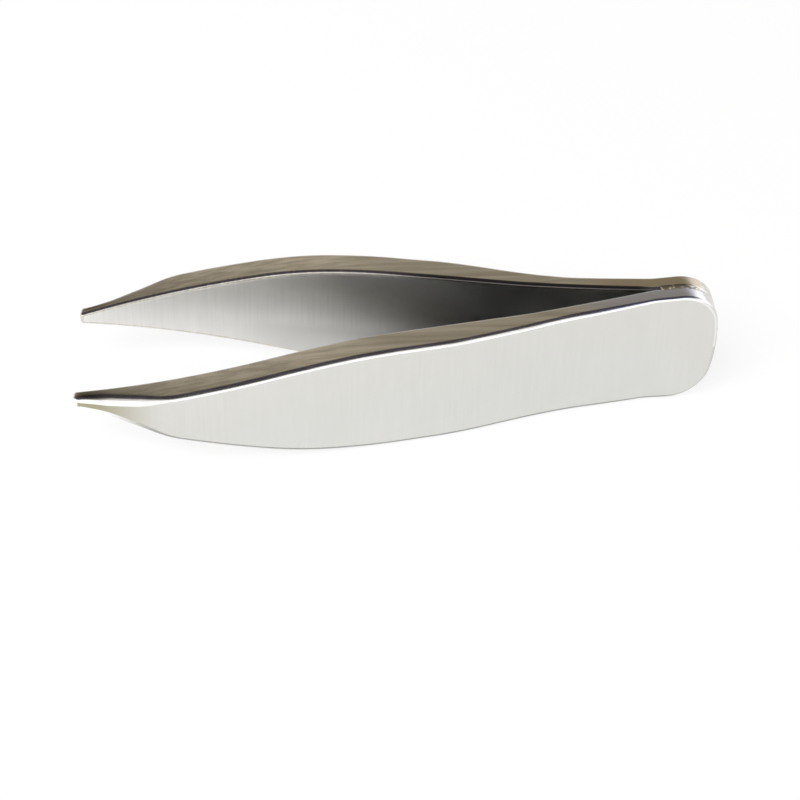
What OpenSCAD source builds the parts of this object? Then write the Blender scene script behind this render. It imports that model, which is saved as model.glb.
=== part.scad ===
// Sharp point tweezers: two bent spring blades, welded face to face at the heel.
//
// Each blade starts as a flat blank with a pointed outline. Its edges are rounded, it is thin at
// the point and at the spring and thick at the grip, and it is bent so that the pair stands open.
// The blade is drawn with x from the points to the heel, y outward from the weld plane and z
// across the blade. The pair then leans until its lower edges lie as they rest on a table.

/* [Overall] */
// Length from the points to the end of the heel
length = 76; // [70:1:100]

/* [Outline of a blade] */
// Width that the taper reaches at the end of a point
tip_w = 1.5; // [0.6:0.1:2.4]
// Width of the blade along the grip
grip_w = 14.6; // [9:0.1:15.5]
// Width that the flare reaches at the end of the heel
heel_w = 16; // [15.6:0.1:20]
// Length of the straight taper of the point
point_len = 22; // [14:0.5:30]
// Length of the rounded shoulder between the taper and the grip
shoulder_len = 16; // [8:0.5:20]
// Length from the end of the heel to where the flare starts
flare_len = 25; // [18:0.5:30]
// Length of the easy curve that starts the flare
flare_blend = 3; // [2:0.5:14]
// How far the middle of the heel's end lies above the mid-line of the rest
heel_rise = 1.1; // [0:0.1:2]
// Radius of the corners of the heel
heel_corner_r = 4.8; // [1:0.1:6]
// How far the end of the heel bows out
end_bow = 0.25; // [0.1:0.05:1]
// Radius of the corners of the point
tip_corner_r = 0.6; // [0.1:0.05:0.8]
// How much of the end of the point is ground off square
tip_flat = 0.05; // [0.05:0.05:0.2]

/* [Bend of a blade] */
// Length of the heel over which the blades lie face to face
weld_len = 7.5; // [4:0.5:12]
// Length of the bend that parts the blades in front of the weld
root_bend_len = 1; // [1:0.5:6]
// Angle between the straight part of a blade and the weld plane, in degrees
splay = 9.8; // [6:0.2:12]
// Length of the inward bow, measured from the point
bow_len = 30; // [22:0.5:40]
// Angle through which the bow turns the blade back, in degrees
bow_turn = 18.4; // [10:0.2:22]

/* [Thickness of a blade] */
// Thickness at the end of the point
tip_t = 1.45; // [0.6:0.05:2]
// Thickness along the grip
grip_t = 3.55; // [2:0.05:4]
// Thickness of the spring and the heel
spring_t = 2.15; // [1:0.05:2.5]
// Length over which the point is ground thinner on its outer face
grind_len = 12.5; // [8:0.5:20]
// Length from the end of the heel over which the blade has the thickness of the spring
spring_len = 16.5; // [11:0.5:20]
// Length over which the spring thickens into the grip
spring_ramp = 17.5; // [6:0.5:22]

/* [Edges] */
// Radius of the round along the outer edges of a point
point_edge_r = 0.9; // [0.3:0.05:1.2]
// Radius of the round along the outer edges of the grip and the spring
edge_r = 0.65; // [0.2:0.05:0.8]
// Radius of the round along the outer edges of the heel
heel_edge_r = 0.35; // [0.1:0.05:0.6]
// Length in front of the weld over which the outer round shrinks to that of the heel
heel_edge_ramp = 10; // [4:0.5:16]
// Radius of the round along the inner edges
inner_edge_r = 0.45; // [0.1:0.05:0.6]
// Width of the narrow bevel between the outer round and the outer face
edge_bevel = 0.2; // [0.1:0.05:0.5]
// Width of the bevel ground along the outer edges of a point
point_bevel = 0.65; // [0.3:0.05:1.2]
// Length from the point over which that bevel keeps its width, and the round its radius
bevel_len = 7; // [3:0.5:12]
// Length over which they shrink
bevel_ramp = 4.5; // [1:0.5:8]
// Angle between the bevels and the outer face, in degrees
bevel_angle = 25; // [15:1:40]

/* [Weld] */
// Radius of the groove between the blades round the heel, which the weld fills
groove_r = 0.4; // [0.3:0.05:0.8]
// Length over which the inner round opens out into the groove
groove_ramp = 1.5; // [0.5:0.1:3]
// How far the dressed weld lies below the edges of the blades
weld_sink = 0.05; // [0.02:0.01:0.2]

/* [Hidden] */

// Numbers of steps along the blade, round a corner of the point and of the heel, over half the
// heel's end and over a round
long_n = 52;
tip_n = 4;
corner_n = 9;
end_n = 3;
inner_n = 3;
outer_n = 5;

// The rounds and bevels may take up to these shares of the half width, of the point's corner and
// of the thickness
width_share = 0.7;
corner_share = 0.9;
inner_t_share = 0.3;
outer_t_share = 0.5;
bevel_t_share = 0.2;

// The corner of the point may take up to this share of its width, and its flat up to this share
// of the corner
tip_share = 0.45;
flat_share = 0.5;

// Stations are closer together towards the point
spacing_power = 1.25;

// Step over which the slope of the outline is taken
slope_step = 0.1;

weld_x = length - weld_len;
grip_x = point_len + shoulder_len;
flare_x = length - flare_len;
spring_x = length - spring_len;

// Smooth step from 0 to 1, level at both ends
function ease(u) = let (v = max(0, min(1, u))) v * v * (3 - 2 * v);
function mix(a, b, u) = a + (b - a) * u;

// Outline: half the width at x, from a taper, a shoulder, a parallel grip and a flare, all tangent
taper_slope = (grip_w - tip_w) / 2 / (point_len + shoulder_len / 2);
flare_slope = (heel_w - grip_w) / 2 / (flare_len - flare_blend / 2);
function shoulder_drop(x) =
    x > grip_x ? 0
    : x > point_len ? taper_slope * pow(grip_x - x, 2) / (2 * shoulder_len)
    : taper_slope * (point_len - x + shoulder_len / 2);
function flare_rise(x) =
    x < flare_x ? 0
    : x < flare_x + flare_blend ? flare_slope * pow(x - flare_x, 2) / (2 * flare_blend)
    : flare_slope * (x - flare_x - flare_blend / 2);
function half_w(x) = grip_w / 2 - shoulder_drop(x) + flare_rise(x);

// Height of the mid-line of the blank at x
function mid_z(x) = heel_rise * pow(max(0, x - flare_x) / flare_len, 2);

// Inner face: distance from the weld plane at x, from a weld, a bend, a straight and a bow
splay_slope = tan(splay);
tip_slope = tan(splay - bow_turn);
function straight_y(x) = splay_slope * (weld_x - root_bend_len / 2 - x);
function inner_y(x) =
    x > weld_x ? 0
    : x > weld_x - root_bend_len ? splay_slope * pow(weld_x - x, 2) / (2 * root_bend_len)
    : x > bow_len ? straight_y(x)
    : straight_y(x) - (splay_slope - tip_slope) * pow(bow_len - x, 2) / (2 * bow_len);

// Thickness at x
function thick(x) =
    x < spring_x - spring_ramp ? mix(tip_t, grip_t, ease(x / grind_len))
    : mix(grip_t, spring_t, ease((x - spring_x + spring_ramp) / spring_ramp));

// Corner of the point, tangent to the taper and to the end as it was before it was ground
tip_r = min(tip_corner_r, tip_share * tip_w);
taper_angle = atan(taper_slope);
tip_x = tip_r - min(tip_flat, flat_share * tip_r);
tip_z = half_w(tip_x) - tip_r / cos(taper_angle);
flat_z = tip_z + sqrt(pow(tip_r, 2) - pow(tip_x, 2));
straight_start_x = tip_x - tip_r * sin(taper_angle);

// Corner of the heel, tangent to the flare and to the bowed end
flare_angle = atan(flare_slope);
corner_x = length - end_bow - heel_corner_r;
corner_z = half_w(corner_x) - heel_corner_r / cos(flare_angle);
end_r = (pow(end_bow + heel_corner_r, 2) + pow(corner_z, 2) - pow(heel_corner_r, 2)) / (2 * end_bow);
end_angle = atan2(corner_z, corner_x - length + end_r);
straight_end_x = corner_x - heel_corner_r * sin(flare_angle);

// One station of the outline is [x, z, direction of the outward normal]
function side_station(x) =
    [x, half_w(x), 90 + atan((half_w(x + slope_step) - half_w(x - slope_step)) / (2 * slope_step))];
function arc_station(x, z, r, a) = [x + r * cos(a), z + r * sin(a), a];
upper = concat(
    [for (i = [0 : tip_n - 1]) arc_station(tip_x, tip_z, tip_r, mix(180, 90 + taper_angle, i / tip_n))],
    [for (i = [0 : long_n])
        side_station(mix(straight_start_x, straight_end_x, pow(i / long_n, spacing_power)))],
    [for (i = [1 : corner_n])
        arc_station(corner_x, corner_z, heel_corner_r, mix(90 + flare_angle, end_angle, i / corner_n))],
    [for (i = [0 : end_n - 1])
        arc_station(length - end_r, 0, end_r, end_angle * (1 - (i + 0.5) / end_n))]);
half_count = len(upper);
loop_count = 2 * half_count;

// Most that the rounds and bevels may take off the outline at x
function most_depth(x) =
    min(width_share * half_w(x), corner_share * tip_r + max(0, x - tip_x));

// Sizes of the rounds and of the bevel at x, each limited by the blade there
round_turn = 90 - bevel_angle;
function inner_round(x) =
    min(mix(inner_edge_r, groove_r, ease((x - weld_x) / groove_ramp)),
        most_depth(x), inner_t_share * thick(x));
function behind_point(x) = ease((x - bevel_len) / bevel_ramp);
function at_heel(x) = ease((x - weld_x + heel_edge_ramp) / heel_edge_ramp);
function outer_round(x) =
    min(mix(mix(point_edge_r, edge_r, behind_point(x)), heel_edge_r, at_heel(x)),
        most_depth(x), outer_t_share * thick(x));
function bevel(x) =
    min(mix(point_bevel, edge_bevel, behind_point(x)),
        (most_depth(x) - outer_round(x) * (1 - cos(round_turn))) / cos(bevel_angle),
        bevel_t_share * thick(x) / sin(bevel_angle));

// The whole outline: along the upper edge to the heel, and back along the lower edge
function station(i) =
    i < half_count ? upper[i]
    : let (s = upper[loop_count - 1 - i]) [s[0], -s[1], -s[2]];

// A point that lies the depth in from the outline at station i, with z from the raised mid-line
function inset_x(i, depth) = station(i)[0] - depth * cos(station(i)[2]);
function inset_z(i, depth) =
    station(i)[1] - depth * sin(station(i)[2]) + mid_z(inset_x(i, depth));

// Ring k of a blade: the inner round from the inner face out, the outer round, then the bevel
ring_count = inner_n + outer_n + 3;
function inner_ring_point(i, k) =
    let (a = 90 * k / inner_n, r = inner_round(station(i)[0]), x = inset_x(i, r * (1 - sin(a))))
    [x, inner_y(x) + r * (1 - cos(a)), inset_z(i, r * (1 - sin(a)))];
function outer_ring_point(i, k) =
    let (a = round_turn * min(k / outer_n, 1),
         r = outer_round(station(i)[0]),
         w = bevel(station(i)[0]),
         depth = r * (1 - cos(a)) + (k > outer_n ? w * cos(bevel_angle) : 0),
         drop = r * (sin(round_turn) - sin(a)) + (k > outer_n ? 0 : w * sin(bevel_angle)),
         x = inset_x(i, depth))
    [x, inner_y(x) + thick(x) - drop, inset_z(i, depth)];
function ring_point(i, k) =
    k <= inner_n ? inner_ring_point(i, k) : outer_ring_point(i, k - inner_n - 1);

// Triangles of a surface whose rows of the given length follow each other, joined end to end
function joined_rows(rows, row_len) = [
    for (k = [0 : rows - 2], i = [0 : row_len - 1])
        let (j = (i + 1) % row_len, a = k * row_len, b = a + row_len)
        each [[a + i, b + j, a + j], [a + i, b + i, b + j]]
];
// Triangles of a flat face between the upper and the lower half of one ring
function face_strips(first, flip) = [
    for (i = [0 : half_count - 2])
        let (a = first + i, b = a + 1, c = first + loop_count - 2 - i, d = c + 1)
        each flip ? [[a, c, b], [a, d, c]] : [[a, b, c], [a, c, d]]
];

// Pose at rest: the pair leans until its lower edges touch the table in front of the flare and
// behind its start
rim = [for (i = [0 : loop_count - 1]) if (station(i)[0] > 0) [inset_x(i, 0), inset_z(i, 0)]];
lower_rim = [for (p = rim) if (p[1] < mid_z(p[0])) p];
rest_lean = max([
    for (b = lower_rim)
        if (b[0] > flare_x)
            min([for (a = lower_rim) if (a[0] < flare_x) atan2(a[1] - b[1], b[0] - a[0])])
]);
function leaned_x(p) = p[0] * cos(rest_lean) - p[1] * sin(rest_lean);
function leaned_z(p) = p[0] * sin(rest_lean) + p[1] * cos(rest_lean);
point_end = [[0, flat_z], [0, -flat_z]];
leaned_xs = [for (p = concat(rim, point_end)) leaned_x(p)];
leaned_zs = [for (p = rim) leaned_z(p)];
module at_rest() {
    translate([-(min(leaned_xs) + max(leaned_xs)) / 2, 0, -min(leaned_zs)])
        rotate([0, -rest_lean, 0])
            children();
}

// One blade on the +y side, with the end of its point ground square
module blade() {
    difference() {
        polyhedron(
            points = [for (k = [0 : ring_count - 1], i = [0 : loop_count - 1]) ring_point(i, k)],
            faces = concat(
                joined_rows(ring_count, loop_count),
                face_strips(0, false),
                face_strips((ring_count - 1) * loop_count, true)),
            convexity = 6);
        translate([-grip_w, 0, -grip_w / 2])
            cube([grip_w, length, grip_w]);
    }
}

module left_arm() {
    color("gainsboro") at_rest() mirror([0, 1, 0]) blade();
}

module right_arm() {
    color("silver") at_rest() blade();
}

// The weld follows the groove from the upper edge round the heel to the lower edge
first_weld = min([for (i = [0 : half_count - 1]) if (station(i)[0] >= weld_x) i]);
weld_count = loop_count - 2 * first_weld;
// One section: down one wall of the groove, up the other and back across the dressed face
section_count = 2 * inner_n + 2;
function weld_point(i, k) =
    k == section_count - 1 ? [inset_x(i, weld_sink), 0, inset_z(i, weld_sink)]
    : let (p = inner_ring_point(i, abs(k - inner_n))) [p[0], sign(k - inner_n) * p[1], p[2]];

module heel_weld() {
    color("darkgray") at_rest()
        polyhedron(
            points = [
                for (i = [0 : weld_count - 1], k = [0 : section_count - 1])
                    weld_point(first_weld + i, k)
            ],
            faces = concat(
                joined_rows(weld_count, section_count),
                [[for (k = [0 : section_count - 1]) k]],
                [[for (k = [section_count - 1 : -1 : 0]) (weld_count - 1) * section_count + k]]),
            convexity = 6);
}

left_arm();
right_arm();
heel_weld();
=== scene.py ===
import logging
import math
from dataclasses import dataclass, field, replace
from enum import Enum
from typing import Any, Iterator

import bmesh
import bpy
from mathutils import Matrix, Vector, noise


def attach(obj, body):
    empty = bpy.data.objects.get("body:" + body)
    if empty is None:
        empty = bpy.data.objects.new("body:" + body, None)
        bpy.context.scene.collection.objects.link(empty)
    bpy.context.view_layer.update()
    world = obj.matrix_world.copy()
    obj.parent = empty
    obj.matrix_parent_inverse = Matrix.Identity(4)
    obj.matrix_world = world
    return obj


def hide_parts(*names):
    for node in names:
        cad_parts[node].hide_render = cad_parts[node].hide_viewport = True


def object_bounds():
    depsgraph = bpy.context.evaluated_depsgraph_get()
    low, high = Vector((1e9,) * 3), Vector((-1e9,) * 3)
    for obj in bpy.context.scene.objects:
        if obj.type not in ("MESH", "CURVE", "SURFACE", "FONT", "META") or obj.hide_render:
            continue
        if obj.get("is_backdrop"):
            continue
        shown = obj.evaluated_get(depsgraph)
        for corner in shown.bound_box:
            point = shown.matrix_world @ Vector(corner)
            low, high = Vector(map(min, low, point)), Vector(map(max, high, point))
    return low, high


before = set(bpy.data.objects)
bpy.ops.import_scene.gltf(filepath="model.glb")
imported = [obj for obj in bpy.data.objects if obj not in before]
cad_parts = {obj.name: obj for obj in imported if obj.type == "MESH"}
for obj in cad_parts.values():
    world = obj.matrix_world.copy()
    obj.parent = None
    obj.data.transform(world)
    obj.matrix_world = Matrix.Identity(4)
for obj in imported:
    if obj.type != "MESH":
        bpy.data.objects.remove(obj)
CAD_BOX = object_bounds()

LOG = logging.getLogger("tweezers")
ROOT_BODY = "root"
MM = 0.001
IMAGE_SIDE = 800
SENSOR_WIDTH = 36.0
SCRATCH_DETAIL = 3.0

# The sockets of a Mix node that mixes colours.
MIX_SHARE, MIX_FROM, MIX_TO = 0, 6, 7
MIX_RESULT = 2

Color = tuple[float, float, float]
Point = tuple[float, float, float]


def ease(u: float) -> float:
    """Return the smooth step from 0 to 1, level at both ends."""
    v = max(0.0, min(1.0, u))
    return v * v * (3 - 2 * v)


def mix(a: float, b: float, share: float) -> float:
    """Return the value that lies the share of the way from a to b."""
    return a + (b - a) * share


class Side(Enum):
    """The two blades of the pair, with the sign of y on each side of the weld."""

    LEFT = -1
    RIGHT = 1


class Surface(Enum):
    """The surfaces of a blade that are finished apart, with their material slots."""

    INNER_FACE = 0
    INNER_ROUND = 1
    EDGE = 2
    BEVEL = 3
    LOWER_RIM = 4
    OUTER_FACE = 5


class Grain(Enum):
    """The way that a finish was rubbed: the spacing of its scratches along x, y and z."""

    ACROSS = (0.30 * MM, 1.5 * MM, 7.0 * MM)
    ALONG = (25.0 * MM, 0.6 * MM, 0.6 * MM)
    TUMBLED = (0.45 * MM, 0.45 * MM, 0.45 * MM)


class Graph:
    """Adds nodes to one node tree and joins them, so that a shader reads as a formula."""

    def __init__(self, tree: bpy.types.NodeTree) -> None:
        """Empty the tree.

        Args:
            tree: The tree of a material or of the world.
        """
        tree.nodes.clear()
        self.tree = tree

    def node(self, kind: str, inputs: dict[Any, Any] | None = None, **settings: Any) -> bpy.types.Node:
        """Add a node.

        Args:
            kind: Its type, such as ShaderNodeMath.
            inputs: What goes into each of its sockets, a value or another node's output.
            **settings: Its other settings.

        Returns:
            The new node.
        """
        made = self.tree.nodes.new(kind)
        for name, value in settings.items():
            setattr(made, name, value)
        for key, value in (inputs or {}).items():
            if isinstance(value, bpy.types.NodeSocket):
                self.tree.links.new(value, made.inputs[key])
            else:
                made.inputs[key].default_value = value
        return made

    def math(self, operation: str, a: Any, b: Any = 0.0, c: Any = 0.0) -> bpy.types.NodeSocket:
        """Return the result of a Math node on a, b and c."""
        return self.node("ShaderNodeMath", {0: a, 1: b, 2: c}, operation=operation).outputs[0]

    def spread(
        self, value: Any, low: float, high: float, to_low: float, to_high: float
    ) -> bpy.types.NodeSocket:
        """Map a value from one range to another with a smooth step, held at both ends.

        Args:
            value: The socket to map.
            low: Value that becomes to_low.
            high: Value that becomes to_high.
            to_low: Result at and under low.
            to_high: Result at and over high.

        Returns:
            The mapped value.
        """
        return self.node(
            "ShaderNodeMapRange",
            {"Value": value, "From Min": low, "From Max": high, "To Min": to_low, "To Max": to_high},
            interpolation_type="SMOOTHSTEP",
        ).outputs[0]

    def blend(self, share: Any, a: Any, b: Any) -> bpy.types.NodeSocket:
        """Return the colour that lies the share of the way from a to b."""
        shown = [value if isinstance(value, bpy.types.NodeSocket) else (*value, 1.0) for value in (a, b)]
        inputs = {MIX_SHARE: share, MIX_FROM: shown[0], MIX_TO: shown[1]}
        return self.node("ShaderNodeMix", inputs, data_type="RGBA").outputs[MIX_RESULT]

    def cloud(self, at: Any, spacing: Point, detail: float = 2.0) -> bpy.types.NodeSocket:
        """Return soft noise.

        Args:
            at: The place that it is read at.
            spacing: Distance between its patches along x, y and z, in metres.
            detail: How many finer layers it has.

        Returns:
            A value from 0 to 1 with its middle at a half.
        """
        scale = tuple(1 / step for step in spacing)
        placed = self.node("ShaderNodeVectorMath", {0: at, 1: scale}, operation="MULTIPLY").outputs[0]
        inputs = {"Vector": placed, "Scale": 1.0, "Detail": detail}
        return self.node("ShaderNodeTexNoise", inputs).outputs[0]


@dataclass(frozen=True)
class Tint:
    """A stretch of a finish whose colour is changed to paint light or shade on it: a painted shade, a
    painted highlight or a painted reflection.

    Attributes:
        color: Colour that is painted over the finish.
        roughness: Its roughness.
        rise: The x at which the change starts and the x at which it is full, on the table.
        fade: The x at which it starts to fade and the x at which it is gone, if it ends.
        level: The z at which it starts and the z at which it is full, if it is limited in height.
        tilt: How far its start moves towards -x for each step up.
    """

    color: Color
    roughness: float
    rise: tuple[float, float]
    fade: tuple[float, float] | None = None
    level: tuple[float, float] | None = None
    tilt: float = 0.0

    def share(self, graph: Graph, along: Any, up: Any) -> bpy.types.NodeSocket:
        """Work out how much of the painted colour is laid on.

        Args:
            graph: Graph of the material.
            along: The x that it is read at.
            up: The z that it is read at.

        Returns:
            A value from 0 for the plain finish to 1 for the full change.
        """
        moved = graph.math("MULTIPLY_ADD", up, self.tilt, along)
        share = graph.spread(moved, *self.rise, 0.0, 1.0)
        if self.fade is not None:
            share = graph.math("MULTIPLY", share, graph.spread(along, *self.fade, 1.0, 0.0))
        if self.level is not None:
            share = graph.math("MULTIPLY", share, graph.spread(up, *self.level, 0.0, 1.0))
        return share


@dataclass(frozen=True)
class SteelFinish:
    """Bare stainless steel, with its scratches and its mottling.

    Attributes:
        name: Name of the material.
        color: Colour of the clean metal.
        dull_color: Colour of the duller patches.
        roughness: Roughness of the clean metal.
        roughness_spread: How much rougher the duller patches are.
        grain: Way that the scratches run.
        scratch_depth: Depth of the scratches.
        scratch_shade: How much the scratches darken the metal.
        mottle: Distance between the duller patches.
        scratch_range: Values of the noise that are the darkest and the lightest of the scratches.
        tints: The stretches over which painted shade, highlights or reflections change its colour.
    """

    name: str
    color: Color
    dull_color: Color
    roughness: float
    roughness_spread: float
    grain: Grain
    scratch_depth: float
    scratch_shade: float
    mottle: float
    scratch_range: tuple[float, float] = (0.3, 0.7)
    tints: tuple[Tint, ...] = ()

    def material(self) -> bpy.types.Material:
        """Make the material.

        Returns:
            A new material with its node tree.
        """
        made = bpy.data.materials.new(self.name)
        made.use_nodes = True
        graph = Graph(made.node_tree)
        at = graph.node("ShaderNodeTexCoord").outputs["Object"]
        patches = graph.cloud(at, (self.mottle,) * 3)
        scratches = graph.cloud(at, self.grain.value, SCRATCH_DETAIL)
        dull = graph.math("MULTIPLY", patches, 1 - self.scratch_shade)
        shade = graph.math(
            "MULTIPLY", graph.spread(scratches, *self.scratch_range, 1.0, 0.0), self.scratch_shade
        )
        color = graph.blend(graph.math("ADD", dull, shade), self.color, self.dull_color)
        rough = graph.math("MULTIPLY_ADD", patches, self.roughness_spread, self.roughness)
        axes = graph.node("ShaderNodeSeparateXYZ", {0: at}).outputs
        for tint in self.tints:
            share = tint.share(graph, axes["X"], axes["Z"])
            color = graph.blend(share, color, tint.color)
            to_rough = graph.math("SUBTRACT", tint.roughness, rough)
            rough = graph.math("MULTIPLY_ADD", to_rough, share, rough)
        bump = graph.node(
            "ShaderNodeBump", {"Height": scratches, "Distance": self.scratch_depth, "Strength": 1.0}
        ).outputs[0]
        metal = graph.node(
            "ShaderNodeBsdfPrincipled",
            {"Base Color": color, "Roughness": rough, "Metallic": 1.0, "Normal": bump},
        )
        graph.node("ShaderNodeOutputMaterial", {"Surface": metal.outputs[0]})
        return made


SATIN_FACE = SteelFinish(
    name="satin_steel",
    color=(0.69, 0.69, 0.66),
    dull_color=(0.65, 0.65, 0.62),
    roughness=0.22,
    roughness_spread=0.05,
    grain=Grain.ACROSS,
    scratch_depth=0.0015 * MM,
    scratch_shade=0.4,
    mottle=6 * MM,
    # Painted reflection: the outer face turns darker and yellowish towards the points.
    tints=(Tint((0.40, 0.38, 0.26), 0.26, (-27 * MM, -36 * MM)),),
)
# Polished bevel, partly painted highlight: its colour is lighter than the outer face's, so that the upper
# bevel shows as a white strip.
POLISHED_BEVEL_HIGHLIGHT = replace(
    SATIN_FACE,
    name="polished_steel_painted_highlight",
    color=(0.84, 0.84, 0.83),
    dull_color=(0.78, 0.78, 0.77),
    roughness=0.1,
    tints=(),
)
BRUSHED_FACE = SteelFinish(
    name="brushed_steel",
    color=(0.90, 0.90, 0.87),
    dull_color=(0.72, 0.72, 0.70),
    roughness=0.235,
    roughness_spread=0.035,
    grain=Grain.ACROSS,
    scratch_depth=0.002 * MM,
    scratch_shade=0.25,
    mottle=6 * MM,
    tints=(
        # Painted shade: the top strip and the bottom strip of the inner face are darker away from the
        # points.
        Tint((0.66, 0.66, 0.64), 0.26, (-22 * MM, -12 * MM), level=(10 * MM, 12.5 * MM)),
        Tint((0.68, 0.68, 0.66), 0.26, (-22 * MM, -12 * MM), level=(6.5 * MM, 4.5 * MM)),
        # Painted shade: the inner face is darkened in the wedge between the blades in front of the weld.
        Tint((0.29, 0.29, 0.28), 0.27, (3.2 * MM, 21 * MM), (10.5 * MM, 22.5 * MM), tilt=1.3),
    ),
)
# Painted highlight: the lower part of an edge is lighter towards the points.
POINT_HIGHLIGHT = Tint((0.90, 0.90, 0.88), 0.25, (-28 * MM, -35 * MM), level=(8.1 * MM, 7.7 * MM))
TUMBLED_EDGE = SteelFinish(
    name="tumbled_steel",
    color=(0.78, 0.76, 0.73),
    dull_color=(0.48, 0.46, 0.43),
    roughness=0.20,
    roughness_spread=0.07,
    grain=Grain.ALONG,
    scratch_depth=0.002 * MM,
    scratch_shade=0.7,
    mottle=3 * MM,
    tints=(
        # Painted shade: the edge darkens towards the points.
        Tint((0.42, 0.405, 0.37), 0.26, (-24 * MM, -36 * MM)),
        # Painted reflection: a dark line along the upper part of the edge at the very points.
        Tint((0.20, 0.18, 0.15), 0.27, (-33 * MM, -37 * MM), level=(7.9 * MM, 8.2 * MM)),
        POINT_HIGHLIGHT,
    ),
)
LEFT_EDGE = replace(
    TUMBLED_EDGE,
    name="tumbled_steel_left",
    tints=(
        *TUMBLED_EDGE.tints,
        # Painted reflection: a bluish tone on the upper part of this blade's edge towards the heel.
        Tint((0.53, 0.55, 0.66), 0.27, (18 * MM, 27 * MM), (34.3 * MM, 35 * MM), (6 * MM, 10 * MM)),
        # Painted highlight: the upper corner of the heel is lighter.
        Tint((0.70, 0.70, 0.69), 0.27, (34.3 * MM, 35 * MM), level=(8 * MM, 12 * MM)),
    ),
)
RIGHT_EDGE = replace(
    TUMBLED_EDGE,
    name="tumbled_steel_right",
    tints=(
        *TUMBLED_EDGE.tints,
        # Painted reflection: a brown tone on the upper part of this blade's edge towards the heel.
        Tint((0.50, 0.44, 0.36), 0.27, (18 * MM, 27 * MM), (35.4 * MM, 36.2 * MM), (6 * MM, 10 * MM)),
    ),
)
# Painted shade: the outer round and the bevel along the lower edge are dark, as if they mirrored the
# shadow under the blade. A painted highlight lightens them towards the points, and they are lighter
# towards the heel.
SHADED_RIM = SteelFinish(
    name="rim_steel_painted_shade",
    color=(0.36, 0.36, 0.34),
    dull_color=(0.27, 0.27, 0.25),
    roughness=0.22,
    roughness_spread=0.05,
    grain=Grain.ALONG,
    scratch_depth=0.001 * MM,
    scratch_shade=0.4,
    mottle=6 * MM,
    tints=(POINT_HIGHLIGHT, Tint((0.58, 0.58, 0.56), 0.25, (32 * MM, 36.5 * MM))),
)
# Painted shade: this inner round of the right blade is darker than the inner face, and near black in the
# wedge between the blades in front of the weld.
BRUSHED_ROUND_SHADED = replace(
    BRUSHED_FACE,
    name="brushed_steel_round_painted_shade",
    color=(0.78, 0.75, 0.70),
    dull_color=(0.48, 0.45, 0.40),
    scratch_depth=0.003 * MM,
    scratch_shade=0.5,
    tints=(Tint((0.16, 0.15, 0.14), 0.27, (-6 * MM, 6 * MM), (28 * MM, 30 * MM)),),
)
WELD_METAL = SteelFinish(
    name="dressed_weld",
    color=(0.78, 0.74, 0.68),
    dull_color=(0.20, 0.185, 0.16),
    roughness=0.25,
    roughness_spread=0.15,
    grain=Grain.TUMBLED,
    scratch_depth=0.008 * MM,
    scratch_shade=0.9,
    mottle=0.7 * MM,
    scratch_range=(0.50, 0.62),
    # Painted highlight: the weld is lighter at the end of the heel.
    tints=(Tint((0.70, 0.70, 0.69), 0.27, (34.5 * MM, 36 * MM)),),
)


@dataclass(frozen=True)
class BladeFinish:
    """How each surface of one blade is finished.

    Attributes:
        edge: Finish of the flat of its edge and of the upper outer round.
        inner_round: Finish of the round between the edge and the inner face.
        inner_face: Finish of the inner face.
        bevel: Finish of the bevel along the upper edge, lighter with a painted highlight.
        lower_rim: Finish of the outer round and the bevel along the lower edge, darkened with painted
            shade.
        outer_face: Finish of the outer face.
    """

    edge: SteelFinish
    inner_round: SteelFinish
    inner_face: SteelFinish = BRUSHED_FACE
    bevel: SteelFinish = POLISHED_BEVEL_HIGHLIGHT
    lower_rim: SteelFinish = SHADED_RIM
    outer_face: SteelFinish = SATIN_FACE

    def slots(self) -> list[SteelFinish]:
        """Return the finish of each material slot, in the order of the surfaces."""
        return [getattr(self, surface.name.lower()) for surface in Surface]


@dataclass(frozen=True)
class Station:
    """One place on the outline of the blank.

    Attributes:
        x: Distance from the points.
        z: Distance from the mid-line of the blade.
        turn: Direction of the outward normal, in radians from +x.
    """

    x: float
    z: float
    turn: float

    @classmethod
    def on_arc(cls, x: float, z: float, r: float, turn: float) -> "Station":
        """Return the station at an angle on the arc about x and z."""
        return cls(x + r * math.cos(turn), z + r * math.sin(turn), turn)

    def mirrored(self) -> "Station":
        """Return the station across the mid-line."""
        return Station(self.x, -self.z, -self.turn)


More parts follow.
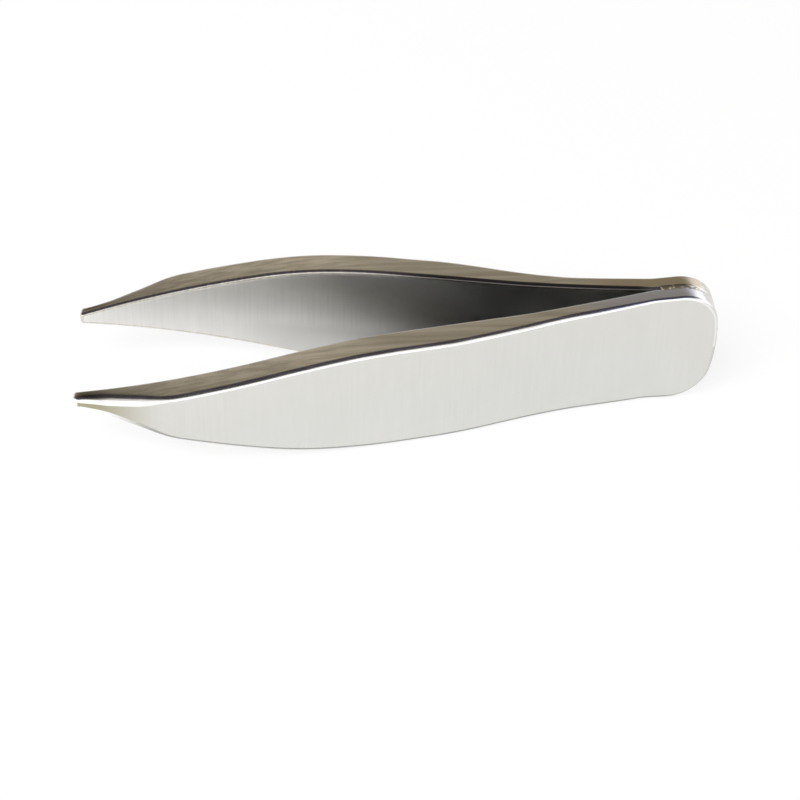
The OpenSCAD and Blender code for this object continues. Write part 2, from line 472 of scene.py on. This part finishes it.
@dataclass(frozen=True)
class BladeForm:
    """The shape of one blade, with x from the points to the heel and y outward from the weld plane.

    The sizes have the names and the values that they have in the part's source. Only bevel_soft, which
    softens the ridge between the bevel and the outer face, and its share of the bevel are added here.
    """

    length: float = 76 * MM
    tip_w: float = 1.5 * MM
    grip_w: float = 14.6 * MM
    heel_w: float = 16 * MM
    point_len: float = 22 * MM
    shoulder_len: float = 16 * MM
    flare_len: float = 25 * MM
    flare_blend: float = 3 * MM
    heel_rise: float = 1.1 * MM
    heel_corner_r: float = 4.8 * MM
    end_bow: float = 0.25 * MM
    tip_corner_r: float = 0.6 * MM
    tip_flat: float = 0.05 * MM
    weld_len: float = 7.5 * MM
    root_bend_len: float = 1 * MM
    splay: float = math.radians(9.8)
    bow_len: float = 30 * MM
    bow_turn: float = math.radians(18.4)
    tip_t: float = 1.45 * MM
    grip_t: float = 3.55 * MM
    spring_t: float = 2.15 * MM
    grind_len: float = 12.5 * MM
    spring_len: float = 16.5 * MM
    spring_ramp: float = 17.5 * MM
    point_edge_r: float = 0.9 * MM
    edge_r: float = 0.65 * MM
    heel_edge_r: float = 0.35 * MM
    heel_edge_ramp: float = 10 * MM
    inner_edge_r: float = 0.45 * MM
    edge_bevel: float = 0.2 * MM
    point_bevel: float = 0.65 * MM
    bevel_len: float = 7 * MM
    bevel_ramp: float = 4.5 * MM
    bevel_angle: float = math.radians(25)
    bevel_soft: float = 0.04 * MM
    bevel_soft_share: float = 0.25
    groove_r: float = 0.4 * MM
    groove_ramp: float = 1.5 * MM
    width_share: float = 0.7
    corner_share: float = 0.9
    inner_t_share: float = 0.3
    outer_t_share: float = 0.5
    bevel_t_share: float = 0.2

    @property
    def weld_x(self) -> float:
        """Return where the weld starts."""
        return self.length - self.weld_len

    @property
    def flare_x(self) -> float:
        """Return where the flare of the heel starts."""
        return self.length - self.flare_len

    @property
    def taper_slope(self) -> float:
        """Return the slope of each edge along the taper of the point."""
        return (self.grip_w - self.tip_w) / 2 / (self.point_len + self.shoulder_len / 2)

    @property
    def flare_slope(self) -> float:
        """Return the slope of each edge along the flare."""
        return (self.heel_w - self.grip_w) / 2 / (self.flare_len - self.flare_blend / 2)

    def half_width(self, x: float) -> float:
        """Return half the width of the blade at x."""
        grip_x = self.point_len + self.shoulder_len
        drop = rise = 0.0
        if x <= self.point_len:
            drop = self.taper_slope * (self.point_len - x + self.shoulder_len / 2)
        elif x < grip_x:
            drop = self.taper_slope * (grip_x - x) ** 2 / (2 * self.shoulder_len)
        if x >= self.flare_x + self.flare_blend:
            rise = self.flare_slope * (x - self.flare_x - self.flare_blend / 2)
        elif x > self.flare_x:
            rise = self.flare_slope * (x - self.flare_x) ** 2 / (2 * self.flare_blend)
        return self.grip_w / 2 - drop + rise

    def mid_z(self, x: float) -> float:
        """Return the height of the mid-line of the blank at x."""
        return self.heel_rise * (max(0.0, x - self.flare_x) / self.flare_len) ** 2

    def inset(self, station: "Station", depth: float) -> tuple[float, float]:
        """Return the x and z of the point that lies the depth in from the outline at a station."""
        x = station.x - depth * math.cos(station.turn)
        return x, station.z - depth * math.sin(station.turn) + self.mid_z(x)

    def inner_y(self, x: float) -> float:
        """Return the distance of the inner face from the weld plane at x."""
        splay_slope = math.tan(self.splay)
        if x > self.weld_x:
            return 0.0
        if x > self.weld_x - self.root_bend_len:
            return splay_slope * (self.weld_x - x) ** 2 / (2 * self.root_bend_len)
        straight = splay_slope * (self.weld_x - self.root_bend_len / 2 - x)
        if x > self.bow_len:
            return straight
        bend = splay_slope - math.tan(self.splay - self.bow_turn)
        return straight - bend * (self.bow_len - x) ** 2 / (2 * self.bow_len)

    def thickness(self, x: float) -> float:
        """Return the thickness of the blade at x."""
        ramp_x = self.length - self.spring_len - self.spring_ramp
        if x < ramp_x:
            return mix(self.tip_t, self.grip_t, ease(x / self.grind_len))
        return mix(self.grip_t, self.spring_t, ease((x - ramp_x) / self.spring_ramp))

    def most_depth(self, x: float) -> float:
        """Return the most that the rounds and bevels may take off the outline at x."""
        at_corner = self.corner_share * self.tip_corner_r + max(0.0, x - self.tip_corner_r + self.tip_flat)
        return min(self.width_share * self.half_width(x), at_corner)

    def inner_round(self, x: float) -> float:
        """Return the radius of the inner round at x, which opens into the groove of the weld."""
        opened = mix(self.inner_edge_r, self.groove_r, ease((x - self.weld_x) / self.groove_ramp))
        return min(opened, self.most_depth(x), self.inner_t_share * self.thickness(x))

    def outer_round(self, x: float) -> float:
        """Return the radius of the outer round at x, which shrinks behind the point and at the heel."""
        behind_point = ease((x - self.bevel_len) / self.bevel_ramp)
        at_heel = ease((x - self.weld_x + self.heel_edge_ramp) / self.heel_edge_ramp)
        r = mix(mix(self.point_edge_r, self.edge_r, behind_point), self.heel_edge_r, at_heel)
        return min(r, self.most_depth(x), self.outer_t_share * self.thickness(x))

    def outer_profile(self, x: float, steps: int, soft_steps: int) -> list[tuple[float, float]]:
        """Trace the outer round at x and the bevel that follows it.

        Args:
            x: Distance from the points.
            steps: Steps over the round.
            soft_steps: Steps over the softened ridge between the bevel and the outer face.

        Returns:
            The depth in from the outline and the height over the inner face of each point, from the
            flat of the edge to the outer face.
        """
        thick = self.thickness(x)
        turned = math.pi / 2 - self.bevel_angle
        rise, run = math.sin(self.bevel_angle), math.cos(self.bevel_angle)
        r = self.outer_round(x)
        width = min(
            mix(self.point_bevel, self.edge_bevel, ease((x - self.bevel_len) / self.bevel_ramp)),
            (self.most_depth(x) - r * (1 - math.cos(turned))) / run,
            self.bevel_t_share * thick / rise,
        )
        start = thick - width * rise - r * math.sin(turned)
        points = []
        for step in range(steps + 1):
            a = turned * step / steps
            points.append((r * (1 - math.cos(a)), start + r * math.sin(a)))
        ridge = points[-1][0] + width * run
        soft = min(self.bevel_soft, self.bevel_soft_share * width)
        soft_r = soft / math.tan(self.bevel_angle / 2)
        for step in range(soft_steps + 1):
            a = self.bevel_angle * (1 - step / soft_steps)
            points.append((ridge + soft - soft_r * math.sin(a), thick - soft_r * (1 - math.cos(a))))
        return points


@dataclass(frozen=True)
class Outline:
    """The stations along the upper edge of the blank, from its point round the heel to the middle.

    Attributes:
        form: Shape of the blade.
        tip_steps: Steps round the corner of the point.
        long_steps: Steps along the edge.
        corner_steps: Steps round the corner of the heel.
        end_steps: Steps over half the end of the heel.
        crowding: Power that brings the stations closer together towards the point.
    """

    form: BladeForm
    tip_steps: int = 8
    long_steps: int = 170
    corner_steps: int = 20
    end_steps: int = 8
    crowding: float = 1.25

    def along(self, x: float) -> Station:
        """Return the station of the upper edge at x."""
        step = 0.05 * MM
        slope = (self.form.half_width(x + step) - self.form.half_width(x - step)) / (2 * step)
        return Station(x, self.form.half_width(x), math.pi / 2 + math.atan(slope))

    def upper(self) -> list[Station]:
        """Return every station of the upper edge, in order."""
        form = self.form
        taper, flare = math.atan(form.taper_slope), math.atan(form.flare_slope)
        tip_r, r = form.tip_corner_r, form.heel_corner_r
        tip_x = tip_r - form.tip_flat
        tip_z = form.half_width(tip_x) - tip_r / math.cos(taper)
        corner_x = form.length - form.end_bow - r
        corner_z = form.half_width(corner_x) - r / math.cos(flare)
        end_r = ((form.end_bow + r) ** 2 + corner_z**2 - r**2) / (2 * form.end_bow)
        end_turn = math.atan2(corner_z, corner_x - form.length + end_r)
        first_x = tip_x - tip_r * math.sin(taper)
        last_x = corner_x - r * math.sin(flare)
        stations = []
        for i in range(self.tip_steps):
            a = mix(math.acos(-tip_x / tip_r), math.pi / 2 + taper, i / self.tip_steps)
            stations.append(Station.on_arc(tip_x, tip_z, tip_r, a))
        for i in range(self.long_steps + 1):
            stations.append(self.along(mix(first_x, last_x, (i / self.long_steps) ** self.crowding)))
        for i in range(1, self.corner_steps + 1):
            a = mix(math.pi / 2 + flare, end_turn, i / self.corner_steps)
            stations.append(Station.on_arc(corner_x, corner_z, r, a))
        for i in range(self.end_steps):
            a = end_turn * (1 - (i + 0.5) / self.end_steps)
            stations.append(Station.on_arc(form.length - end_r, 0.0, end_r, a))
        return stations

    @property
    def columns(self) -> int:
        """Return how many stations lie before the end of the heel."""
        return self.tip_steps + self.long_steps + self.corner_steps + 1


@dataclass(frozen=True)
class RestPose:
    """How the pair stands: leant until it rests in front of the flare and behind its start.

    Attributes:
        outline: Stations of one blade.
        cad_box: Lowest and highest corner of the solids.
    """

    outline: Outline
    cad_box: tuple[Vector, Vector]

    def matrix(self) -> Matrix:
        """Work out the move from the axes of the blade to the frame.

        Returns:
            A lean about y, then a shift that puts the blade where its solid is.
        """
        form = self.outline.form
        upper = self.outline.upper()
        lower = [form.inset(s.mirrored(), 0.0) for s in upper]
        front = [p for p in lower if p[0] < form.flare_x]
        back = [p for p in lower if p[0] > form.flare_x]
        lean = max(min(math.atan2(a[1] - b[1], b[0] - a[0]) for a in front) for b in back)
        turn = Matrix.Rotation(-lean, 4, "Y")
        rim = [turn @ Vector((x, 0, z)) for x, z in lower + [form.inset(s, 0.0) for s in upper]]
        low, high = self.cad_box
        right = max(p.x for p in rim)
        bottom = min(p.z for p in rim)
        return Matrix.Translation((high.x - right, 0, low.z - bottom)) @ turn


@dataclass(frozen=True)
class Unevenness:
    """The slight waves that hand grinding leaves in a blade.

    Attributes:
        face_depth: Most that a face is off.
        edge_depth: Most that an edge is off.
        face_wave: Distance between the waves of a face.
        edge_wave: Distance between the waves of an edge.
        blade_seed: Place of each blade's waves in the noise, on either side of 0.
        edge_seed: Place of each edge's waves on either side of its blade's.
        edge_row: Row of the noise that the edges are read from.
    """

    face_depth: float = 0.012 * MM
    edge_depth: float = 0.02 * MM
    face_wave: float = 7 * MM
    edge_wave: float = 9 * MM
    blade_seed: float = 5.0
    edge_seed: float = 2.0
    edge_row: float = 0.5

    def shift(self, point: Vector, side: Side, free: float) -> Vector:
        """Work out how far a point is off.

        Args:
            point: The point in the axes of the blade.
            side: The blade that it is on, because the two differ.
            free: 0 where the blades are welded together, 1 where they are clear of each other.

        Returns:
            The shift of the point.
        """
        seed = self.blade_seed * side.value
        across = noise.noise(Vector((point.x / self.face_wave, seed, point.z / self.face_wave)))
        edge_seed = seed + math.copysign(self.edge_seed, point.z)
        along = noise.noise(Vector((point.x / self.edge_wave, edge_seed, self.edge_row)))
        return Vector((0, self.face_depth * across * free, self.edge_depth * along))


@dataclass
class Blade:
    """One spring blade, with its edge profile and its two faces.

    Attributes:
        name: Name of the piece.
        node: Node of the solid that it stands for.
        side: Which blade of the pair it is.
        outline: Stations of its edge.
        pose: The move from its own axes to the frame.
        finish: How its surfaces are finished.
        unevenness: Waves that its grinding left.
        inner_steps: Steps over the inner round.
        outer_steps: Steps over the outer round.
        soft_steps: Steps over the softened ridge.
        across_steps: Rows of a face between its rims.
        rim_support: Distance of the extra row beside each rim, as a share of half the width.
        free_ramps: Ramps of the groove in front of the weld over which its face starts to be uneven.
    """

    name: str
    node: str
    side: Side
    outline: Outline
    pose: Matrix
    finish: BladeFinish
    unevenness: Unevenness = field(default_factory=Unevenness)
    inner_steps: int = 5
    outer_steps: int = 8
    soft_steps: int = 3
    across_steps: int = 12
    rim_support: float = 0.06
    free_ramps: int = 4

    def profile(self, station: Station) -> list[tuple[float, float, float]]:
        """Trace the edge at a station, from the inner face to the outer one.

        Args:
            station: Place on the outline.

        Returns:
            The x, y and z of each point in the axes of the blade.
        """
        form = self.outline.form
        r = form.inner_round(station.x)
        places = []
        for step in range(self.inner_steps + 1):
            a = math.pi / 2 * step / self.inner_steps
            places.append((r * (1 - math.sin(a)), r * (1 - math.cos(a))))
        places += form.outer_profile(station.x, self.outer_steps, self.soft_steps)
        points = []
        for depth, height in places:
            x, z = form.inset(station, depth)
            points.append((x, form.inner_y(x) + height, z))
        return points

    def across(self) -> list[float]:
        """Return the shares of the width at which a face has its rows, closer beside its rims."""
        even = [i / self.across_steps for i in range(1, self.across_steps)]
        rim = self.rim_support / 2
        return [rim, *even, 1 - rim]

    def place(self, point: Point) -> Vector:
        """Put a point of the blade where it lies in the frame.

        Args:
            point: The point in the axes of the blade, on the +y side.

        Returns:
            The point in the frame, with the unevenness of this blade.
        """
        form = self.outline.form
        at = Vector(point)
        free = ease((form.weld_x - at.x) / (self.free_ramps * form.groove_ramp))
        at += self.unevenness.shift(at, self.side, free)
        at.y *= self.side.value
        return self.pose @ at

    def build(self) -> bpy.types.Object:
        """Build the mesh of the blade.

        Returns:
            The new object, with one material slot for each surface.
        """
        mesh = bmesh.new()
        upper = self.outline.upper()
        stations = upper + [s.mirrored() for s in reversed(upper)]
        rings = [[mesh.verts.new(self.place(p)) for p in self.profile(s)] for s in stations]
        self.add_edge(mesh, rings)
        self.add_face(mesh, rings, 0, Surface.INNER_FACE)
        self.add_face(mesh, rings, -1, Surface.OUTER_FACE)
        bmesh.ops.recalc_face_normals(mesh, faces=mesh.faces)
        return self.finished(mesh)

    def add_edge(self, mesh: bmesh.types.BMesh, rings: list[list[bmesh.types.BMVert]]) -> None:
        """Add the strip that runs all the way round the blade, finished surface by surface.

        Args:
            mesh: Mesh that gets the faces.
            rings: The points of the profile at each station, first those of the upper edge.
        """
        inner = [Surface.INNER_ROUND] * self.inner_steps + [Surface.EDGE]
        bevel_steps = 1 + self.soft_steps
        upper = inner + [Surface.EDGE] * self.outer_steps + [Surface.BEVEL] * bevel_steps
        lower = inner + [Surface.LOWER_RIM] * (self.outer_steps + bevel_steps)
        for i, here in enumerate(rings):
            there = rings[(i + 1) % len(rings)]
            for k, surface in enumerate(upper if i < len(rings) / 2 else lower):
                face = mesh.faces.new((here[k], there[k], there[k + 1], here[k + 1]))
                face.material_index = surface.value

    def add_face(
        self, mesh: bmesh.types.BMesh, rings: list[list[bmesh.types.BMVert]], k: int, surface: Surface
    ) -> None:
        """Fill a face of the blade between its upper and its lower rim.

        Args:
            mesh: Mesh that gets the faces.
            rings: The points of the profile at each station.
            k: Which point of the profile the face starts from.
            surface: The surface that the face is.
        """
        columns = []
        for i in range(1, self.outline.columns):
            top, bottom = rings[i][k], rings[-1 - i][k]
            between = [mesh.verts.new(top.co.lerp(bottom.co, share)) for share in self.across()]
            columns.append([top, *between, bottom])
        faces = []
        for here, there in zip(columns, columns[1:]):
            for j in range(len(here) - 1):
                faces.append(mesh.faces.new((here[j], here[j + 1], there[j + 1], there[j])))
        last = self.outline.columns
        faces.append(mesh.faces.new([*columns[-1], *(ring[k] for ring in reversed(rings[last:-last]))]))
        faces.append(mesh.faces.new([rings[0][k], rings[-1][k], *reversed(columns[0])]))
        for face in faces:
            face.material_index = surface.value

    def finished(self, mesh: bmesh.types.BMesh) -> bpy.types.Object:
        """Turn the mesh into an object and dress it.

        Args:
            mesh: The mesh, which is used up.

        Returns:
            The object, with smooth shading and its finishes.
        """
        blade = new_object(self.name, mesh)
        for finish in self.finish.slots():
            blade.data.materials.append(shared_material(finish))
        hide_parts(self.node)
        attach(blade, ROOT_BODY)
        return blade


@dataclass
class HeelWeld:
    """The fused metal in the groove round the heel.

    Attributes:
        name: Name of the piece.
        node: Node of the solid that it stands for.
        outline: Stations of the blades' edge.
        pose: The move from the axes of the blades to the frame.
        sink: How deep its dressed face lies under the edges of the blades.
        wall_steps: Steps over each wall of the groove.
        dressed_steps: Steps over the dressed face.
        ripple_depth: Most that a ripple is off.
        ripple_step: Distance between the ripples along the seam.
        ripple_rows: How many rows of the noise lie across half the seam.
        ripple_seed: Place of the ripples in the noise.
    """

    name: str
    node: str
    outline: Outline
    pose: Matrix
    sink: float = 0.05 * MM
    wall_steps: int = 5
    dressed_steps: int = 6
    ripple_depth: float = 0.02 * MM
    ripple_step: float = 0.45 * MM
    ripple_rows: float = 2.0
    ripple_seed: float = 3.5

    def section(self, station: Station, travel: float) -> list[Point]:
        """Trace the weld across the groove.

        Args:
            station: Place on the outline.
            travel: Distance along the seam, which places its ripples.

        Returns:
            The points, down one wall of the groove, up the other and back over the dressed face.
        """
        form = self.outline.form
        r = form.inner_round(station.x)
        points = []
        for step in range(-self.wall_steps, self.wall_steps + 1):
            a = math.pi / 2 * abs(step) / self.wall_steps
            x, z = form.inset(station, r * (1 - math.sin(a)))
            points.append((x, math.copysign(r * (1 - math.cos(a)), step), z))
        for step in range(1, self.dressed_steps):
            share = 1 - 2 * step / self.dressed_steps
            row = share * self.ripple_rows
            ripple = noise.noise(Vector((travel / self.ripple_step, row, self.ripple_seed)))
            depth = (self.sink + self.ripple_depth * ripple) * (1 - share**2)
            x, z = form.inset(station, depth)
            points.append((x, share * r, z))
        return points

    def build(self) -> bpy.types.Object:
        """Build the mesh of the weld and dress it.

        Returns:
            The new object.
        """
        mesh = bmesh.new()
        upper = [s for s in self.outline.upper() if s.x >= self.outline.form.weld_x]
        stations = upper + [s.mirrored() for s in reversed(upper)]
        travel = 0.0
        rows: list[list[bmesh.types.BMVert]] = []
        for here, before in zip(stations, [stations[0], *stations]):
            travel += math.hypot(here.x - before.x, here.z - before.z)
            rows.append([mesh.verts.new(self.pose @ Vector(p)) for p in self.section(here, travel)])
        for here, there in zip(rows, rows[1:]):
            for j in range(len(here)):
                n = (j + 1) % len(here)
                mesh.faces.new((here[j], here[n], there[n], there[j]))
        mesh.faces.new(rows[0])
        mesh.faces.new(rows[-1])
        bmesh.ops.recalc_face_normals(mesh, faces=mesh.faces)
        weld = new_object(self.name, mesh)
        weld.data.materials.append(shared_material(WELD_METAL))
        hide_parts(self.node)
        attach(weld, ROOT_BODY)
        return weld


def new_object(name: str, mesh: bmesh.types.BMesh, sharp: float = math.radians(40)) -> bpy.types.Object:
    """Turn a mesh into a smooth-shaded object of the scene.

    Args:
        name: Name of the object.
        mesh: The mesh, which is used up.
        sharp: Angle over which an edge shows as sharp.

    Returns:
        The new object.
    """
    data = bpy.data.meshes.new(name)
    mesh.to_mesh(data)
    mesh.free()
    data.shade_smooth()
    data.set_sharp_from_angle(angle=sharp)
    made = bpy.data.objects.new(name, data)
    bpy.context.scene.collection.objects.link(made)
    return made


def shared_material(finish: SteelFinish) -> bpy.types.Material:
    """Return the material of a finish, made the first time that it is asked for."""
    return bpy.data.materials.get(finish.name) or finish.material()


@dataclass(frozen=True)
class PhotoCamera:
    """The camera of the photograph, by where it looks and from where.

    Attributes:
        aim: Point in the middle of the picture.
        azimuth: Direction of view, from +y towards +x.
        elevation: Height of the camera over the horizon.
        roll: Turn of the picture.
        distance: Distance from the aim.
        focal_px: Focal length in pixels of the picture.
        clip: The nearest and the farthest distance that it sees.
    """

    aim: Point = (0.0848 * MM, -4.1187 * MM, 2.7511 * MM)
    azimuth: float = math.radians(5.329)
    elevation: float = math.radians(41.980)
    roll: float = math.radians(2.154)
    distance: float = 228 * MM
    focal_px: float = 1909.4
    clip: tuple[float, float] = (10 * MM, 20.0)

    def build(self) -> bpy.types.Object:
        """Add the camera and make it the camera of the scene.

        Returns:
            The camera.
        """
        data = bpy.data.cameras.new("camera")
        data.sensor_width = SENSOR_WIDTH
        data.lens = self.focal_px * SENSOR_WIDTH / IMAGE_SIDE
        data.clip_start, data.clip_end = self.clip
        camera = bpy.data.objects.new("camera", data)
        bpy.context.scene.collection.objects.link(camera)
        flat = math.cos(self.elevation)
        look = Vector(
            (math.sin(self.azimuth) * flat, math.cos(self.azimuth) * flat, -math.sin(self.elevation))
        )
        turn = look.to_track_quat("-Z", "Y").to_matrix() @ Matrix.Rotation(self.roll, 3, "Z")
        camera.matrix_world = Matrix.Translation(Vector(self.aim) - look * self.distance) @ turn.to_4x4()
        bpy.context.scene.camera = camera
        return camera


@dataclass(frozen=True)
class SoftBox:
    """A soft lamp that points at the object.

    Attributes:
        name: Name of the lamp.
        azimuth: Direction in which it stands, from -y towards +x.
        elevation: Its height over the horizon.
        distance: Its distance from the object.
        side: Side of its square face.
        power: Its power in watts.
        mirrored: Whether polished metal shows it.
    """

    name: str
    azimuth: float
    elevation: float
    distance: float
    side: float
    power: float
    mirrored: bool

    def build(self) -> bpy.types.Object:
        """Add the lamp.

        Returns:
            The lamp.
        """
        data = bpy.data.lights.new(self.name, "AREA")
        data.shape = "SQUARE"
        data.size = self.side
        data.energy = self.power
        lamp = bpy.data.objects.new(self.name, data)
        bpy.context.scene.collection.objects.link(lamp)
        flat = math.cos(self.elevation)
        away = Vector(
            (math.sin(self.azimuth) * flat, -math.cos(self.azimuth) * flat, math.sin(self.elevation))
        )
        turn = away.to_track_quat("Z", "Y").to_matrix().to_4x4()
        lamp.matrix_world = Matrix.Translation(away * self.distance) @ turn
        lamp.visible_camera = False
        lamp.visible_glossy = self.mirrored
        return lamp


@dataclass(frozen=True)
class Studio:
    """A white table and the room round it: white windows low down, dim overhead, dark over the camera.

    Attributes:
        table_side: Side of the table.
        table_cells: How many cells its mesh has along each side.
        table_color: Colour of its surface.
        shown_white: Share of plain white in what the camera sees of the table.
        mirrored_white: Share of plain white in what polished metal shows of it. At 0 the metal mirrors
            the table as it is lit, with the object's shadow on it.
        horizon: Light from the windows in front and on the right, near the horizon.
        right_window: Where the window on the right starts and is full, as the x of a direction.
        front_window: Where the window in front starts and is full, as the -y of a direction.
        wall: Light from the walls behind and on the left.
        ceiling: Light from overhead and behind the object.
        dark: Light from over the camera.
        left_share: Share of the ceiling's light that is left on the left.
        left_ramp: Where the ceiling brightens towards the middle, as the x of a direction.
        right_share: Share that is left on the right.
        right_ramp: Where it dims towards the right.
        right_rise: How much higher the light of the walls reaches for each step towards the right.
        horizon_top: Height at which the walls start to darken, as the z of a direction.
        ceiling_start: Height from which the ceiling is as dim as it gets.
        front_start: How far forward of overhead the dark starts, as the -y of a direction.
        front_full: How far forward of overhead it is full.
        lamps: The lamps.
    """

    table_side: float = 6.0
    table_cells: int = 8
    table_color: Color = (0.9, 0.9, 0.9)
    shown_white: float = 0.85
    mirrored_white: float = 0.0
    horizon: Color = (1.5, 1.5, 1.52)
    right_window: tuple[float, float] = (0.3, 0.6)
    front_window: tuple[float, float] = (0.0, 0.4)
    wall: Color = (0.80, 0.76, 0.70)
    ceiling: Color = (0.505, 0.445, 0.34)
    dark: Color = (0.076, 0.069, 0.082)
    left_share: float = 0.57
    left_ramp: tuple[float, float] = (-0.36, -0.25)
    right_share: float = 0.725
    right_ramp: tuple[float, float] = (-0.12, 0.05)
    right_rise: float = 0.45
    horizon_top: float = 0.22
    ceiling_start: float = 0.42
    front_start: float = -0.5
    front_full: float = -0.2
    lamps: tuple[SoftBox, ...] = (
        SoftBox("front_lamp", math.radians(-42), math.radians(50), 0.8, 0.5, 7.5, False),
    )

    def build(self) -> Iterator[bpy.types.Object]:
        """Light the room and lay the table.

        Yields:
            The table, then each lamp.
        """
        self.light_room()
        yield self.table()
        for lamp in self.lamps:
            yield lamp.build()

    def light_room(self) -> None:
        """Give the world the light of the room, by direction."""
        world = bpy.data.worlds.new("room")
        bpy.context.scene.world = world
        world.use_nodes = True
        graph = Graph(world.node_tree)
        direction = graph.node("ShaderNodeTexCoord").outputs["Generated"]
        split = graph.node("ShaderNodeSeparateXYZ", {0: direction}).outputs
        forward = graph.math("MULTIPLY", split["Y"], -1.0)
        in_front = graph.spread(forward, self.front_start, self.front_full, 0.0, 1.0)
        from_left = graph.spread(split["X"], *self.left_ramp, self.left_share, 1.0)
        to_right = graph.spread(split["X"], *self.right_ramp, 1.0, self.right_share)
        overhead = graph.blend(graph.math("MULTIPLY", from_left, to_right), (0.0,) * 3, self.ceiling)
        above = graph.blend(in_front, overhead, self.dark)
        windows = graph.math(
            "MAXIMUM",
            graph.spread(split["X"], *self.right_window, 0.0, 1.0),
            graph.spread(forward, *self.front_window, 0.0, 1.0),
        )
        walls = graph.blend(windows, self.wall, self.horizon)
        rightward = graph.math("MAXIMUM", split["X"], 0.0)
        height = graph.math("MULTIPLY_ADD", rightward, -self.right_rise, split["Z"])
        raised = graph.spread(height, self.horizon_top, self.ceiling_start, 0.0, 1.0)
        light = graph.blend(raised, walls, above)
        background = graph.node("ShaderNodeBackground", {"Color": light, "Strength": 1.0})
        graph.node("ShaderNodeOutputWorld", {"Surface": background.outputs[0]})

    def table(self) -> bpy.types.Object:
        """Lay the table that the object stands on.

        Returns:
            The table, marked as part of the stage.
        """
        mesh = bmesh.new()
        cells = self.table_cells
        bmesh.ops.create_grid(mesh, x_segments=cells, y_segments=cells, size=self.table_side / 2)
        table = new_object("table", mesh)
        table.data.materials.append(self.table_material())
        table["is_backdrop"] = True
        return table

    def table_material(self) -> bpy.types.Material:
        """Make the white of the table, which still takes a shadow.

        Returns:
            The material.
        """
        made = bpy.data.materials.new("table_white")
        made.use_nodes = True
        graph = Graph(made.node_tree)
        path = graph.node("ShaderNodeLightPath").outputs
        matt = graph.node("ShaderNodeBsdfDiffuse", {"Color": (*self.table_color, 1.0)}).outputs[0]
        glow = {"Color": (1.0, 1.0, 1.0, 1.0), "Strength": 1.0}
        white = graph.node("ShaderNodeEmission", glow).outputs[0]
        mirrored = graph.math("MAXIMUM", path["Is Glossy Ray"], path["Is Transmission Ray"])
        share = graph.math(
            "MAXIMUM",
            graph.math("MULTIPLY", path["Is Camera Ray"], self.shown_white),
            graph.math("MULTIPLY", mirrored, self.mirrored_white),
        )
        shown = graph.node("ShaderNodeMixShader", {0: share, 1: matt, 2: white})
        graph.node("ShaderNodeOutputMaterial", {"Surface": shown.outputs[0]})
        return made


def report(piece: bpy.types.Object) -> None:
    """Log what was built, with its faces where it has any."""
    faces = len(piece.data.polygons) if piece.type == "MESH" else 0
    LOG.info("%s: %s, %d faces", piece.name, piece.type.lower(), faces)


def write_sizes() -> None:
    """Work out the box of the solids and the box of what is shown."""
    boxes = {"cad": CAD_BOX, "visual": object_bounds()}
    {name: [list(corner) for corner in box] for name, box in boxes.items()}


def main() -> None:
    """Build the camera, the tweezers and the studio, in order."""
    logging.basicConfig(level=logging.INFO, format="%(name)s: %(message)s")
    report(PhotoCamera().build())
    outline = Outline(BladeForm())
    pose = RestPose(outline, CAD_BOX).matrix()
    # The two blades' edge finishes differ by side because their tints paint different reflections and
    # shade on each.
    left, right = BladeFinish(LEFT_EDGE, LEFT_EDGE), BladeFinish(RIGHT_EDGE, BRUSHED_ROUND_SHADED)
    report(Blade("left_blade", "left_arm", Side.LEFT, outline, pose, left).build())
    report(Blade("right_blade", "right_arm", Side.RIGHT, outline, pose, right).build())
    report(HeelWeld("heel_seam", "heel_weld", outline, pose).build())
    for item in Studio().build():
        report(item)
    bpy.context.scene.view_settings.view_transform = "Standard"
    write_sizes()


if __name__ == "__main__":
    main()
